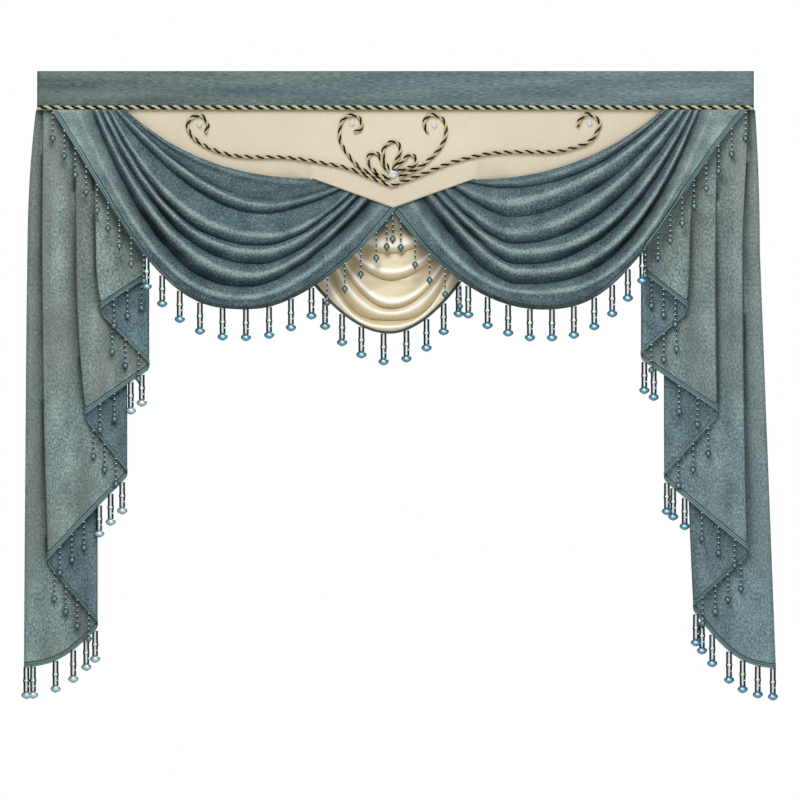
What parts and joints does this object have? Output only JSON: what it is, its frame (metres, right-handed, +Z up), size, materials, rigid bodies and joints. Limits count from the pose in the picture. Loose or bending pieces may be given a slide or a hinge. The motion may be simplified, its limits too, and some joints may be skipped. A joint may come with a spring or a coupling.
{
  "type": "curtain valance with swags and tails",
  "caption": "Soft pelmet for the top of a window: a heading band over a cream panel, draped swags and pleated cascade tails, edged with glass bead fringe.",
  "frame": {"origin": "middle of the heading band's top edge, on its back face, where the valance is fastened", "axes": "+X along the heading to the right as seen from the front, +Y back towards the wall, +Z up"},
  "size_m": [1.8801, 0.1125, 1.5696],
  "materials": {
    "band_chenille": "matte blue-grey chenille",
    "swag_chenille": "soft blue chenille with a low sheen",
    "tail_chenille": "mottled grey-olive chenille, bluer on its reverse",
    "cream_linen": "matte cream linen",
    "satin": "glossy cream satin",
    "twisted_rope": "twisted black and pale gold cord",
    "bead_fringe": "glossy blue glass beads on a teal tape",
    "crystal": "cut clear glass"
  },
  "bodies": {
    "root": {"header_band": "band_chenille", "header_rope": "twisted_rope", "cream_panel": "cream_linen", "swag_left": "swag_chenille", "swag_right": "swag_chenille", "swag_centre": "satin", "fringe_swag_left": "bead_fringe", "fringe_swag_right": "bead_fringe", "fringe_centre": "bead_fringe", "tail_left": "tail_chenille", "tail_right": "tail_chenille", "fringe_tail_left": "bead_fringe", "fringe_tail_right": "bead_fringe", "scroll_rope_outer": "twisted_rope", "scroll_rope_left": "twisted_rope", "scroll_rope_right": "twisted_rope", "scroll_rope_clover": "twisted_rope", "button_outer_left": "crystal", "button_inner_left": "crystal", "button_inner_right": "crystal", "button_outer_right": "crystal", "button_centre": "crystal"}
  },
  "joints": []
}
